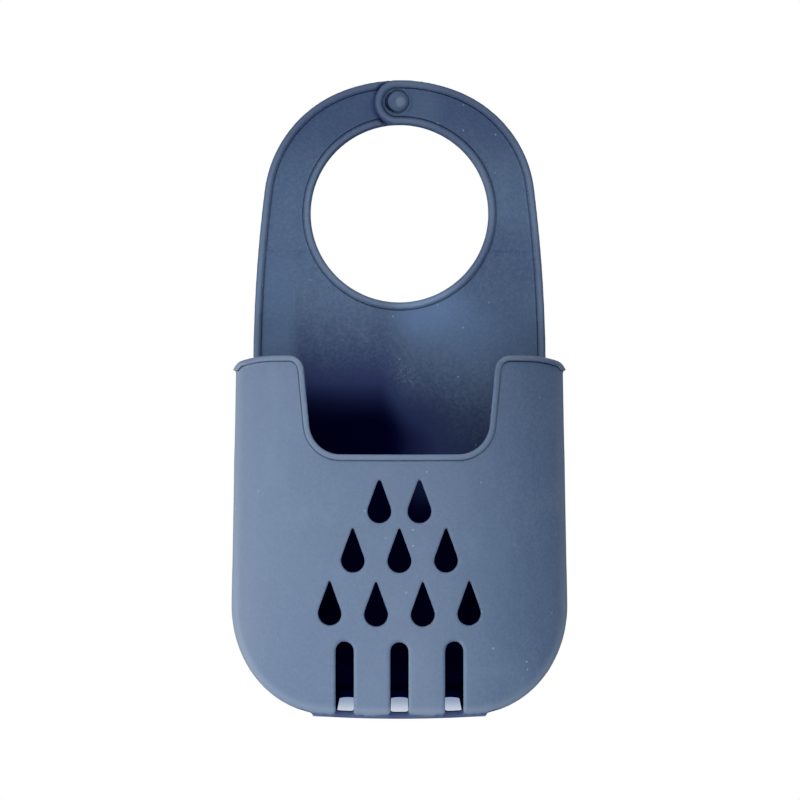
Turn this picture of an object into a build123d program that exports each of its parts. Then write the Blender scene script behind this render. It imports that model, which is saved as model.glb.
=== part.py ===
from build123d import *
import math
import os

# A soft moulded sink caddy: a pocket that hangs from a faucet by a strap that snaps shut.
# Sizes are in millimetres. X is to the right, Y runs from the front to the back, Z is up,
# and the origin is under the middle of the pocket, on the surface that it stands on.

# The whole caddy
back = 26.0
sheet = 2.6
wall = 2.1
bead_height = 1.0
strap_bead_height = 0.8

# The pocket, seen from the front
flat_half_width = 26.8
foot = 0.5
corner_radius = 34.5
side_taper = 1.3
rim_height = 126.0
rim_flat_half_width = 45.0
rim_arcs = [(45.0, 15.0), (5.0, 50.0)]
front_edge_radius = 3.2

# The pocket, seen from above: an ellipse whose middle is on the back face
bulge_half_width = 66.0
bulge_depth = 51.0

# The scoop in the front wall and the bead round it
scoop_top_half_width = 34.0
scoop_bottom_half_width = 30.6
scoop_height = 91.4
scoop_corner_radius = 11.0
ear_radius = 5.5
rim_bead_width = 2.2

# Drop shaped holes: the number in each row, the height of its tips and its pitch
drop_length = 15.7
drop_radius = 4.15
drop_rows = [(2, 83.3, 13.9), (3, 66.1, 16.2), (4, 47.5, 16.2)]

# The drain comb at the foot of the front wall, and the slotted floor behind it
slot_width = 6.25
slot_pitch = 19.0
slot_top = 26.4
finger_corner_radius = 1.6
floor_half_width = 30.5
floor_edge_radius = 2.0
floor_strip = 2.2
floor_slot_length = 40.0
pad_height = 8.0

# The strap: three tangent arcs on each side, from the crown downwards, as radius and turn
ring_height = 180.0
ring_hole_radius = 33.2
crown_height = 229.7
strap_arcs = [(58.6, 22.6), (45.8, 60.3), (557.0, 6.9)]
strap_bead_width = 2.5
shoulder_radius = 2.0

# The two arms that overlap at the crown, and the snap that holds them
tip_radius = 8.3
tip_reach = 9.2
snap_height = 221.2
snap_x = -0.5
eyelet_x = -0.9
eyelet_radius = 4.4
stem_radius = 2.6
head_radius = 3.85
head_height = 2.6
head_edge = 0.6
lip_gap = 0.15
lip_recess = 0.4
lip_thickness = 1.6
arm_step = 3.2
arm_step_start = 3.0
arm_step_length = 25.0
tip_gap = 0.4

# Bend lines of the soft sheet: the neck above the pocket, and one across each arm
neck_height = 137.0
bend_gap = 0.3
bead_setback = 1.3
head_clearance = 0.2

# Planes well outside the caddy, for cutting
far = 80.0
above = 150.0
below = -5.0
over = 240.0
neck_foot = 60.0

# Limits for telling edges and corners apart
edge_margin = 5.0
straight_back = 0.95
hair = 0.01
slice_height = 0.1

# Worked out from the sizes above
inner_back = back - sheet
bend_y = back - sheet / 2
knuckle = sheet / 2
head_base = back - arm_step - sheet - head_clearance
tip_height = (crown_height + ring_height + ring_hole_radius) / 2

os.makedirs("parts", exist_ok=True)


def front_prism(face, front, rear):
    """A face drawn in the front view, made solid between two depths."""
    return extrude(Plane.XZ.offset(-rear) * face, amount=rear - front)


def block(x0, x1, y0, y1, z0, z1):
    """A plain block between two corners."""
    size = Box(x1 - x0, y1 - y0, z1 - z0)
    return Pos((x0 + x1) / 2, (y0 + y1) / 2, (z0 + z1) / 2) * size


def area(x0, x1, z0, z1):
    """A rectangle in the front view."""
    return Pos((x0 + x1) / 2, (z0 + z1) / 2) * Rectangle(x1 - x0, z1 - z0)


def mirrored(half, *closing):
    """A face whose outline is a right half, its mirror image and the closing lines."""
    return make_face([*half.edges(), *mirror(half, Plane.YZ).edges(), *closing])


def bag_outline(inset):
    """The U of the pocket in the front view, drawn in by inset."""
    base = Line((0, foot + inset), (flat_half_width, foot + inset))
    corner = JernArc(base @ 1, (1, 0), corner_radius - inset, 90 + side_taper)
    rise = (above - (corner @ 1).Y) / math.cos(math.radians(side_taper))
    side = Line(corner @ 1, corner @ 1 + (corner % 1) * rise)
    right = base + corner + side
    top = Line((-(side @ 1).X, above), ((side @ 1).X, above))
    return mirrored(right, top)


def bag_plan(inset):
    """The half ellipse of the pocket seen from above, drawn in by inset."""
    rx = bulge_half_width - inset
    ry = bulge_depth - inset
    bow = EllipticalCenterArc((0, back), rx, ry, start_angle=180, arc_size=180)
    return make_face([bow, Line((-rx, back), (rx, back))])


def bag_plan_prism(inset):
    """The plan of the pocket, made solid over its full height."""
    return Pos(0, 0, below) * extrude(bag_plan(inset), amount=above - below)


def bag_body(inset, rear):
    """The pocket as a closed form, drawn in by inset at its front, sides and foot."""
    return bag_plan_prism(inset) & front_prism(bag_outline(inset), -far, rear)


def rounded_front(body, radius):
    """Round the edge where the bulging front meets the sides and the foot."""
    rear_limit = inner_back - edge_margin
    top_limit = above - edge_margin
    edges = [
        e
        for e in body.edges()
        if abs((e % 0.5).Y) < straight_back
        and (e @ 0.5).Y < rear_limit
        and (e @ 0.5).Z < top_limit
    ]
    return fillet(edges, radius)


def rim_fall():
    """The line of the rim at its right end, where it falls away towards the side."""
    shallow = JernArc((rim_flat_half_width, rim_height), (1, 0), rim_arcs[0][0], -rim_arcs[0][1])
    steep = JernArc(shallow @ 1, shallow % 1, rim_arcs[1][0], -rim_arcs[1][1])
    return shallow + steep


def rim_region():
    """All that lies below the rim in the front view, with the scoop left out."""
    rim = FilletPolyline(
        (rim_flat_half_width, rim_height),
        (scoop_top_half_width, rim_height),
        (scoop_bottom_half_width, scoop_height),
        (-scoop_bottom_half_width, scoop_height),
        (-scoop_top_half_width, rim_height),
        (-rim_flat_half_width, rim_height),
        radius=[ear_radius, scoop_corner_radius, scoop_corner_radius, ear_radius],
    )
    fall = rim_fall()
    side_height = (fall @ 1).Y
    side = Line(fall @ 1, (far, side_height))
    edge = Line((far, side_height), (far, below))
    base = Line((-far, below), (far, below))
    return mirrored(fall + side + edge, *rim.edges(), base)


def drop_hole():
    """One drop: a round foot with straight flanks that meet in a point at the origin."""
    lean = math.asin(drop_radius / (drop_length - drop_radius))
    centre = (0, drop_radius - drop_length)
    reach = (drop_length - drop_radius) * math.cos(lean)
    touch = (reach * math.sin(lean), -reach * math.cos(lean))
    other = (-touch[0], touch[1])
    flanks = make_face(Polyline((0, 0), touch, centre, other, (0, 0)))
    return flanks + Pos(*centre) * Circle(drop_radius)


def drop_field():
    """Rows of two, three and four drops."""
    drops = [
        Pos((i - (count - 1) / 2) * pitch, height) * drop_hole()
        for count, height, pitch in drop_rows
        for i in range(count)
    ]
    return Sketch() + drops


def comb_slots():
    """Slots with round tops that run out through the foot of the front wall."""
    half = slot_width / 2
    flare = half + finger_corner_radius
    mouth_height = foot + finger_corner_radius
    slot = area(-half, half, below, slot_top - half) + Pos(0, slot_top - half) * Circle(half)
    mouth = area(-flare, flare, below, mouth_height)
    for x in (-flare, flare):
        mouth -= Pos(x, mouth_height) * Circle(finger_corner_radius)
    slot += mouth
    return Sketch() + [Pos(i * slot_pitch, 0) * slot for i in (-1, 0, 1)]


def floor_slots():
    """Slots through the floor, square at the front strip and round at the rear."""
    front = back - bulge_depth + wall + floor_strip
    rear = front + floor_slot_length
    slots = Sketch()
    for i in (-1, 0, 1):
        x = i * slot_pitch
        run = area(x - slot_width / 2, x + slot_width / 2, front, rear - slot_width / 2)
        slots += run + Pos(x, rear - slot_width / 2) * Circle(slot_width / 2)
    cutter = Pos(0, 0, below) * extrude(slots, amount=2 * pad_height)
    return cutter & bag_plan_prism(wall + floor_strip)


def strap_outline():
    """The outer line of the strap in the front view, closed well below the neck."""
    edge = []
    at = Vector(0, crown_height)
    heading = Vector(1, 0)
    for radius, turn in strap_arcs:
        arc = JernArc(at, heading, radius, -turn)
        edge.append(arc)
        at = arc @ 1
        heading = arc % 1
    side = Line(at, (at.X, neck_foot))
    right = Curve() + [*edge, side]
    return mirrored(right, Line((-at.X, neck_foot), (at.X, neck_foot)))


def strap_face():
    """The strap in the front view, with its round hole."""
    return strap_outline() - Pos(0, ring_height) * Circle(ring_hole_radius)


def below_line(height):
    """All of the front view below a height."""
    return area(-far, far, below, height)


def beaded_sheet(face, flat):
    """A sheet with a raised bead on its front wherever the flat field leaves it."""
    thick = front_prism(face, inner_back - strap_bead_height, back)
    return thick - front_prism(flat, -far, inner_back)


def past_the_tip(gap):
    """All of the front view on the right arm's side of its round tip, grown by a gap."""
    centre_x = tip_radius - tip_reach
    nose = Pos(centre_x, tip_height) * Circle(tip_radius + gap)
    return area(centre_x, far, neck_height, over) + nose


def right_arm_region():
    """The right arm in the front view, with its round tip past the middle."""
    return strap_face() & past_the_tip(0)


def pivot_rod(x0, x1, height):
    """The rounded end of a bending sheet, round its bend line."""
    rod = Cylinder(knuckle, x1 - x0, rotation=(0, 90, 0))
    return Pos((x0 + x1) / 2, bend_y, height) * rod


def stepped_sheet(front_shift, rear_shift):
    """A sheet that steps forward above the arm's bend line, as a band seen from the side."""
    turn = 2 * math.degrees(math.atan(arm_step / arm_step_length))
    radius = arm_step_length / (2 * math.sin(math.radians(turn)))
    low = Line((back, ring_height), (back, ring_height + arm_step_start))
    out = JernArc(low @ 1, (0, 1), radius, turn)
    home = JernArc(out @ 1, out % 1, radius, -turn)
    high = Line(home @ 1, ((home @ 1).X, over))
    line = low + out + home + high
    rear_line = Pos(-rear_shift, 0) * line
    front_line = Pos(-front_shift, 0) * line
    ends = []
    for y, z in ((back, ring_height), ((high @ 1).X, over)):
        ends.append(Line((y - rear_shift, z), (y - front_shift, z)))
    face = make_face([*rear_line.edges(), *front_line.edges(), *ends])
    return extrude(Plane.YZ * face, amount=far, both=True)


def stud_profile_solid():
    """The stem and domed head of the snap, turned about its own axis."""
    dome = head_height - head_edge
    stem_length = inner_back - head_base
    crown = (0, stem_length + head_height)
    shoulder = (head_radius, stem_length + head_edge)
    sphere = (head_radius**2 + dome**2) / (2 * dome)
    lines = [
        Line((0, 0), (stem_radius, 0)),
        Line((stem_radius, 0), (stem_radius, stem_length)),
        Line((stem_radius, stem_length), (head_radius, stem_length)),
        Line((head_radius, stem_length), shoulder),
        RadiusArc(shoulder, crown, -sphere),
        Line(crown, (0, 0)),
    ]
    turned = revolve(make_face(lines), Axis.Y)
    return Pos(snap_x, inner_back, snap_height) * Rot(0, 0, 180) * turned


def make_pocket():
    """The pieces of the pocket: front wall, two side walls, rim and floor."""
    outer = rounded_front(bag_body(0, inner_back), front_edge_radius)
    cavity = bag_body(wall, inner_back)
    shell = outer - cavity
    behind_front = bag_plan_prism(wall)
    region = rim_region()
    below_rim = offset(region, amount=-rim_bead_width)
    under_rim = front_prism(below_rim, -far, far)

    comb = comb_slots()
    front = (shell - behind_front) & under_rim
    front -= front_prism(drop_field() + comb, -far, 0)

    sides = (shell & behind_front) & under_rim
    left = sides & block(-far, -floor_half_width, -far, far, below, above)
    right = sides & block(floor_half_width, far, -far, far, below, above)

    floor_depth = block(-floor_half_width, floor_half_width, -far, inner_back, 0, pad_height)
    pad = (floor_depth & behind_front) - cavity
    ends = [e for e in pad.edges() if abs((e @ 0.5).X) > floor_half_width - hair]
    lower_ends = [e for e in ends if (e @ 0).Z < hair and (e @ 1).Z < hair]
    pad = fillet(lower_ends, floor_edge_radius) - floor_slots()

    rim_form = bag_body(-bead_height, inner_back) - cavity
    rim = rim_form & front_prism(region - below_rim, -far, far)
    return {
        "front_wall": front,
        "left_wall": left,
        "right_wall": right,
        "drain_floor": pad,
        "pocket_rim": rim,
    }


def make_back_wall():
    """The flat back of the pocket and the neck above it, up to the bend line."""
    side_height = (rim_fall() @ 1).Y
    top = neck_height - knuckle - bend_gap
    bag = bag_outline(0) & area(-far, far, below, side_height)
    neck = strap_outline() & area(-far, far, neck_foot, top)
    face = bag + neck
    inside = half_width_at(side_height) + shoulder_radius
    corners = [
        v for v in face.vertices() if abs(v.Y - side_height) < hair and abs(v.X) < inside
    ]
    face = fillet(corners, shoulder_radius)
    flat = below_line(side_height + shoulder_radius)
    flat += offset(strap_outline(), amount=-strap_bead_width)
    return beaded_sheet(face, flat)


def half_width_at(height):
    """How far the edge of the strap is from the middle at a height."""
    slice_there = strap_outline() & area(-far, far, height, height + slice_height)
    return slice_there.bounding_box().max.X


def make_ring_base():
    """The lower half of the ring, from the neck's bend line to those of the arms."""
    strap = strap_face()
    face = strap & area(-far, far, neck_height, ring_height - knuckle - bend_gap)
    flat = offset(strap, amount=-strap_bead_width) + below_line(neck_height + bead_setback)
    reach = half_width_at(neck_height)
    return beaded_sheet(face, flat) + pivot_rod(-reach, reach, neck_height)


def arm_flat(region):
    """The field of an arm inside its bead, with the end at the bend line left plain."""
    return offset(region, amount=-strap_bead_width) + below_line(ring_height + bead_setback)


def make_right_arm():
    """The arm that steps forward and ends in the eyelet."""
    region = right_arm_region()
    face = front_prism(region & area(-far, far, ring_height, over), -far, far)
    flat = front_prism(arm_flat(region), -far, far)
    arm = stepped_sheet(sheet + strap_bead_height, 0) & face
    arm -= stepped_sheet(2 * sheet, sheet) & flat
    rod = pivot_rod(ring_hole_radius, half_width_at(ring_height), ring_height)
    eyelet = front_prism(Pos(eyelet_x, snap_height) * Circle(eyelet_radius), -far, far)
    return arm + rod - eyelet


def make_left_arm():
    """The flat arm that runs on behind the other one and carries the stud."""
    region = mirror(right_arm_region(), Plane.YZ)
    face = region & area(-far, far, ring_height, over)
    arm = beaded_sheet(face, arm_flat(region) + past_the_tip(tip_gap))
    rod = pivot_rod(-half_width_at(ring_height), -ring_hole_radius, ring_height)
    return arm + rod


def make_eyelet_lip():
    """The soft rim inside the eyelet that the head of the stud is pushed through."""
    front = back - arm_step - sheet + lip_recess
    ring = Pos(eyelet_x, snap_height) * Circle(eyelet_radius)
    hole = Pos(snap_x, snap_height) * Circle(stem_radius + lip_gap)
    return front_prism(ring - hole, front, front + lip_thickness)


nodes = make_pocket()
nodes["back_wall"] = make_back_wall()
nodes["ring_base"] = make_ring_base()
nodes["right_arm"] = make_right_arm()
nodes["left_arm"] = make_left_arm()
nodes["snap_stud"] = stud_profile_solid()
nodes["eyelet_lip"] = make_eyelet_lip()

for name, shape in nodes.items():
    export_step(shape, f"parts/{name}.step")
    box = shape.bounding_box()
    print(name, "volume", round(shape.volume), "from", box.min, "to", box.max)
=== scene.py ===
# %% [markdown]
# # A moulded sink caddy
#
# The real object is one soft moulding in slate blue silicone: a pocket with drop shaped
# holes and a drain comb, a flat neck, and a ring strap whose two arms overlap at the crown
# and snap together. This lesson dresses the imported solids with a moulded skin, gives it a
# silicone finish with wear and with painted light and shade in its colour, and lights it as
# a product on white.

# %% Load the frame
import math

import bpy
import numpy as np
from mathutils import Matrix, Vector


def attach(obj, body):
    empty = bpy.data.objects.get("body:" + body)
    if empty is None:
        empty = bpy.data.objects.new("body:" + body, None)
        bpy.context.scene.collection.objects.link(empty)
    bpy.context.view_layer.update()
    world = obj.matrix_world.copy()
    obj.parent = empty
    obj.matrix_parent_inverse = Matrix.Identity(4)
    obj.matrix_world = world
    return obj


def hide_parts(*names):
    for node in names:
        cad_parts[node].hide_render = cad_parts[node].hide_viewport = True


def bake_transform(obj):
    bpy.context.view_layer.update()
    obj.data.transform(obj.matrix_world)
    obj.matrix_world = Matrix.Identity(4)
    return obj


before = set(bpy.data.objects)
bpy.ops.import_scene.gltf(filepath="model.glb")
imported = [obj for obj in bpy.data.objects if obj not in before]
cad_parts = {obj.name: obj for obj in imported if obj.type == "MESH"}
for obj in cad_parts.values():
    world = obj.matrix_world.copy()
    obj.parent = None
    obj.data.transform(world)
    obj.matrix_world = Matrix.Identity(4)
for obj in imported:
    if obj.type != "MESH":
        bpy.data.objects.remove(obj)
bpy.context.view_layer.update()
print("CAD nodes", sorted(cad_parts))

# %% [markdown]
# ## The camera
#
# The caddy hangs straight in front of the lens, a little over 60 cm away. The distance can
# be read from the floor slots, which grow narrower towards the rear, and the height from the
# fact that neither the crown nor the foot leans. A camera that looks level keeps all
# upright edges upright.

# %% Place the camera
mm = 0.001
camera_place = (0.2 * mm, -624 * mm, 110.3 * mm)
lens_length = 78.0

camera_data = bpy.data.cameras.new("camera")
camera_data.lens = lens_length
camera_data.sensor_width = 36.0
camera = bpy.data.objects.new("camera", camera_data)
camera.location = camera_place
camera.rotation_euler = (math.pi / 2, 0, 0)
bpy.context.scene.collection.objects.link(camera)
bpy.context.scene.camera = camera
print("camera", tuple(round(c, 4) for c in camera.location), "lens", camera_data.lens)

# %% [markdown]
# ## Sizes
#
# The driving sizes of the moulding, in metres through `mm`. The skin has the same outlines
# as the solids that it covers, so both stay in the same box. The last three values are no
# sizes of the caddy: they only take a cutter clear of it on every side.

# %% The sizes of the moulding
back = 26.0 * mm
sheet = 2.6 * mm
wall = 2.1 * mm
inner_back = back - sheet

flat_half_width = 26.8 * mm
foot = 0.5 * mm
corner_radius = 34.5 * mm
side_taper = 1.3
bulge_half_width = 66.0 * mm
bulge_depth = 51.0 * mm

rim_height = 126.0 * mm
rim_flat_half_width = 45.0 * mm
rim_arcs = [(45.0 * mm, 15.0), (5.0 * mm, 50.0)]
rim_bead_width = 1.9 * mm
rim_bead_height = 1.0 * mm

far = 80.0 * mm
above = 150.0 * mm
below = -10.0 * mm

side_rim_height = rim_height
heading = 0.0
for radius, turn in rim_arcs:
    before, heading = heading, heading + math.radians(turn)
    side_rim_height -= radius * (math.cos(before) - math.cos(heading))
print("side rim at", round(side_rim_height / mm, 2), "mm")

# %% [markdown]
# ## A pen for outlines
#
# Every edge of the caddy is drawn in the front view from straight runs and arcs. By hand
# this is a single vertex in Edit Mode that is extruded for a run and spun for an arc. The
# class below does just that and keeps count of where the end is and where it heads. Half an
# outline is enough: a mirrored copy closes it. Filled and extruded, it is a solid.

# %% The pen
arc_step = 0.9 * mm


def nothing_selected():
    """Operators act on what is selected, so each piece starts from nothing."""
    bpy.ops.object.select_all(action="DESELECT")


class Pen:
    """Draws an outline in the front view, where X is to the right and Z is up."""

    def __init__(self, x, z, heading=0.0):
        nothing_selected()
        bpy.ops.mesh.primitive_plane_add(size=mm)
        bpy.ops.object.mode_set(mode="EDIT")
        bpy.ops.mesh.select_all(action="SELECT")
        bpy.ops.mesh.merge(type="CENTER")
        bpy.ops.transform.translate(value=(x, 0, z))
        self.x, self.z, self.heading = x, z, math.radians(heading)

    def run_to(self, x, z):
        """A straight run to a point."""
        step = (x - self.x, 0, z - self.z)
        bpy.ops.mesh.extrude_region_move(TRANSFORM_OT_translate={"value": step})
        self.x, self.z = x, z

    def run(self, length):
        """A straight run ahead."""
        ahead = (math.cos(self.heading), math.sin(self.heading))
        self.run_to(self.x + length * ahead[0], self.z + length * ahead[1])

    def turn(self, radius, degrees):
        """An arc: positive degrees turn left, negative ones right."""
        angle = math.radians(degrees)
        side = math.copysign(radius, degrees)
        centre_x = self.x - side * math.sin(self.heading)
        centre_z = self.z + side * math.cos(self.heading)
        steps = max(8, math.ceil(abs(angle) * radius / arc_step))
        bpy.ops.mesh.spin(
            steps=steps, angle=angle, center=(centre_x, 0, centre_z), axis=(0, 1, 0)
        )
        self.heading += angle
        self.x = centre_x + side * math.sin(self.heading)
        self.z = centre_z - side * math.cos(self.heading)

    def mirror(self):
        """Add the left half of an outline that starts and ends on the middle line."""
        bpy.ops.mesh.select_all(action="SELECT")
        bpy.ops.mesh.duplicate()
        bpy.ops.transform.resize(value=(-1, 1, 1), center_override=(0, 0, 0))
        bpy.ops.mesh.select_all(action="SELECT")
        bpy.ops.mesh.remove_doubles(threshold=0.001 * mm)

    def solid(self, name, front, rear):
        """Fill the outline and extrude it from the front to the rear."""
        bpy.ops.mesh.select_all(action="SELECT")
        bpy.ops.mesh.edge_face_add()
        bpy.ops.transform.translate(value=(0, front, 0))
        bpy.ops.mesh.extrude_region_move(
            TRANSFORM_OT_translate={"value": (0, rear - front, 0)}
        )
        bpy.ops.mesh.select_all(action="SELECT")
        bpy.ops.mesh.normals_make_consistent(inside=False)
        bpy.ops.object.mode_set(mode="OBJECT")
        piece = bpy.context.object
        piece.name = name
        return piece


# %% [markdown]
# ## Blocks, rods and booleans
#
# Plain primitives serve only as cutters here. The Boolean modifier with the Manifold solver
# joins and cuts closed meshes in a blink, and it wants nothing but closed meshes, which is
# also what a mould maker would ask for.

# %% Blocks and rods
def placed(name):
    """Bake the place of a new primitive into its mesh, so that its object is at the origin."""
    bpy.ops.object.transform_apply(location=True, rotation=True, scale=True)
    bpy.context.object.name = name
    return bpy.context.object


def block(x0, x1, y0, y1, z0, z1):
    """A block between two corners."""
    nothing_selected()
    middle = ((x0 + x1) / 2, (y0 + y1) / 2, (z0 + z1) / 2)
    bpy.ops.mesh.primitive_cube_add(size=1, location=middle, scale=(x1 - x0, y1 - y0, z1 - z0))
    return placed("block")


def rod(x, z, radius, front, rear, sides=160):
    """A round rod that runs from the front to the rear."""
    nothing_selected()
    bpy.ops.mesh.primitive_cylinder_add(
        vertices=sides,
        radius=radius,
        depth=rear - front,
        location=(x, (front + rear) / 2, z),
        rotation=(math.pi / 2, 0, 0),
    )
    return placed("rod")


# %% Modifiers and booleans
def only(piece):
    """Select one piece and nothing else."""
    nothing_selected()
    piece.select_set(True)
    bpy.context.view_layer.objects.active = piece


def copied(piece):
    """A copy with its own mesh."""
    twin = piece.copy()
    twin.data = piece.data.copy()
    bpy.context.scene.collection.objects.link(twin)
    return twin


def apply_modifier(piece, kind, **settings):
    """Add a modifier, set it and apply it."""
    only(piece)
    modifier = piece.modifiers.new(kind.lower(), kind)
    for name, value in settings.items():
        setattr(modifier, name, value)
    bpy.ops.object.modifier_apply(modifier=modifier.name)


def boolean(piece, tool, operation):
    """Join, cut or intersect a piece with a tool, which is then thrown away."""
    apply_modifier(piece, "BOOLEAN", operation=operation, solver="MANIFOLD", object=tool)
    bpy.data.objects.remove(tool)
    return piece


def join(piece, tool):
    return boolean(piece, tool, "UNION")


def cut(piece, tool):
    return boolean(piece, tool, "DIFFERENCE")


def common(piece, tool):
    return boolean(piece, tool, "INTERSECT")


# %% [markdown]
# ## The bulging form of the pocket
#
# Seen from the front the pocket is a U with wide round corners, and seen from above its
# front is a long shallow bulge. Where two such walls meet, a moulding has a soft edge. The
# form is the common part of a U shaped prism and an elliptical cylinder. A voxel remesh
# gives it even faces, and a few rounds of smoothing round the edge by about 3 mm. That is
# steadier than a bevel, which would stumble over the slanting cuts.

# %% The form, drawn in or out by an inset
form_voxel = 1.0 * mm
smoothing = 0.5
outer_rounds = 11
inner_rounds = 5


def plan_prism(inset):
    """The bulge of the pocket seen from above, as a tall elliptical cylinder."""
    nothing_selected()
    bpy.ops.mesh.primitive_cylinder_add(
        vertices=360,
        radius=1,
        depth=above - 2 * below,
        location=(0, back, above / 2),
        scale=(bulge_half_width - inset, bulge_depth - inset, 1),
    )
    return placed("plan")


def bag_form(name, inset, rear, rounds):
    """The pocket as a full form with soft edges, cut flat at its rear."""
    pen = Pen(0, foot + inset)
    pen.run(flat_half_width)
    pen.turn(corner_radius - inset, 90 + side_taper)
    pen.run((above - pen.z) / math.sin(pen.heading))
    pen.run_to(0, above)
    pen.mirror()
    form = pen.solid(name, -far, back + far)
    common(form, plan_prism(inset))
    apply_modifier(form, "REMESH", mode="VOXEL", voxel_size=form_voxel)
    apply_modifier(form, "SMOOTH", factor=smoothing, iterations=rounds)
    cut(form, block(-far, far, rear, back + 2 * far, below, above + far))
    return form


cavity = bag_form("cavity", wall, inner_back, inner_rounds)
shell = bag_form("shell", 0, back, outer_rounds)
rim = bag_form("rim", -rim_bead_height, inner_back, outer_rounds)
print("shell faces", len(shell.data.polygons), "cavity faces", len(cavity.data.polygons))

# %% [markdown]
# ## The rim and its scoop
#
# The rim is level, rounds down at its two ends and dips in the middle into a scoop for the
# fingers. One line describes all of it. Drawn in by the width of the bead, with its radii
# changed to suit, the same line gives the lower edge of the bead.

# %% Cut the rim
scoop_top_half_width = 34.0 * mm
scoop_bottom_half_width = 30.6 * mm
scoop_height = 91.4 * mm
scoop_corner_radius = 11.0 * mm
ear_radius = 5.5 * mm


def rim_cutter(inset, closing_height):
    """All that lies between the rim line, drawn in by an inset, and a level line."""
    lean = scoop_top_half_width - scoop_bottom_half_width
    rise = rim_height - scoop_height
    slope = math.degrees(math.atan2(rise, lean))
    half_turn = math.tan(math.radians(slope / 2))
    flank = math.hypot(lean, rise) - (scoop_corner_radius + ear_radius) * half_turn
    pen = Pen(0, scoop_height - inset)
    pen.run(scoop_bottom_half_width - scoop_corner_radius * half_turn)
    pen.turn(scoop_corner_radius + inset, slope)
    pen.run(flank)
    pen.turn(ear_radius - inset, -slope)
    pen.run(rim_flat_half_width - scoop_top_half_width - ear_radius * half_turn)
    for radius, turn in rim_arcs:
        pen.turn(radius - inset, -turn)
    pen.run_to(far, pen.z)
    pen.run_to(far, closing_height)
    pen.run_to(0, closing_height)
    pen.mirror()
    return pen.solid("rim_cutter", -far, inner_back)


top = above + far
cut(shell, copied(cavity))
cut(shell, rim_cutter(0, top))
cut(shell, block(-far, far, inner_back - mm, back + mm, side_rim_height, top))
cut(rim, cavity)
cut(rim, rim_cutter(0, top))
cut(rim, rim_cutter(rim_bead_width, below))
print("rim faces", len(rim.data.polygons))

# %% [markdown]
# ## Drops
#
# Nine holes in rows of two, three and four. One drop is drawn once, a straight flank that
# runs into a round foot, and is then copied to its places.

# %% Cut the drops
drop_length = 15.7 * mm
drop_radius = 4.15 * mm
drop_rows = [
    (2, 83.3 * mm, 13.9 * mm),
    (3, 66.1 * mm, 16.2 * mm),
    (4, 47.5 * mm, 16.2 * mm),
]
tip_allowance = 0.5 * mm


def drop_cutter():
    """A drop with its tip at the origin, a little longer because smoothing blunts it."""
    centre_depth = drop_length - drop_radius
    lean = math.degrees(math.asin(drop_radius / (centre_depth + tip_allowance)))
    pen = Pen(0, tip_allowance, lean - 90)
    pen.run((centre_depth + tip_allowance) * math.cos(math.radians(lean)))
    pen.turn(drop_radius, -90 - lean)
    pen.mirror()
    return pen.solid("drop", -far, 0)


def moved(piece, x, y, z):
    """Shift a piece in its mesh."""
    only(piece)
    bpy.ops.transform.translate(value=(x, y, z))
    bpy.ops.object.transform_apply(location=True, rotation=True, scale=True)
    return piece


first_drop = drop_cutter()
for count, height, pitch in drop_rows:
    for i in range(count):
        across = (i - (count - 1) / 2) * pitch
        cut(shell, moved(copied(first_drop), across, 0, height))
bpy.data.objects.remove(first_drop)
print("drops", sum(row[0] for row in drop_rows))

# %% [markdown]
# ## The slotted floor and the drain comb
#
# A flat pad is the floor that the caddy stands on. Its front edge slants, so that it reads as
# a dark strip below the wall. It is stacked from three layers, each set further back than the
# one below, and the smoothing turns the steps into a slope. Three slots with round tops run
# out through the foot of the front wall and leave fingers with rounded corners. They stop at
# the pad, which stays whole along its front.

# %% Add the floor pad
floor_half_width = 30.5 * mm
floor_edge_radius = 2.0 * mm
pad_spare = 1.0 * mm
pad_layers = [
    (0.6 * mm, 0.7 * mm),
    (1.3 * mm, 1.3 * mm),
    (wall, 1.8 * mm),
]


def pad_layer(inset, height):
    """One layer of the flat foot, with its two lower side edges rounded."""
    pad = block(-floor_half_width, floor_half_width, -far, back, -pad_spare, height)
    bpy.ops.object.mode_set(mode="EDIT")
    bpy.ops.mesh.select_all(action="DESELECT")
    bpy.ops.object.mode_set(mode="OBJECT")
    for edge in pad.data.edges:
        ends = [pad.data.vertices[v].co for v in edge.vertices]
        along = abs(ends[0].y - ends[1].y) > mm
        edge.select = along and max(e.z for e in ends) < 0
    bpy.ops.object.mode_set(mode="EDIT")
    bpy.ops.mesh.bevel(
        offset=min(floor_edge_radius, height) + pad_spare, segments=8, affect="EDGES"
    )
    bpy.ops.object.mode_set(mode="OBJECT")
    return common(pad, plan_prism(inset))


pad = pad_layer(*pad_layers[0])
for layer in pad_layers[1:]:
    join(pad, pad_layer(*layer))
join(shell, copied(pad))
print("pad faces", len(pad.data.polygons))

# %% Cut the comb
slot_width = 6.25 * mm
slot_pitch = 19.0 * mm
slot_top = 26.4 * mm
finger_corner_radius = 1.6 * mm
comb_depth = 12.0 * mm


def comb_cutter():
    """One slot of the comb, with a mouth that flares round the corners of the fingers."""
    half = slot_width / 2
    pen = Pen(0, slot_top)
    pen.turn(half, -90)
    pen.run(pen.z - foot - finger_corner_radius)
    pen.turn(finger_corner_radius, 90)
    pen.run_to(pen.x, below)
    pen.run_to(0, below)
    pen.mirror()
    return pen.solid("slot", -far, back - bulge_depth + comb_depth)


slot_places = [i * slot_pitch for i in (-1, 0, 1)]
first_slot = comb_cutter()
for across in slot_places:
    cutter = moved(copied(first_slot), across, 0, 0)
    cut(shell, cut(cutter, copied(pad)))
bpy.data.objects.remove(first_slot)
bpy.data.objects.remove(pad)
join(shell, rim)
print("comb slots", len(slot_places), "shell faces", len(shell.data.polygons))

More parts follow.
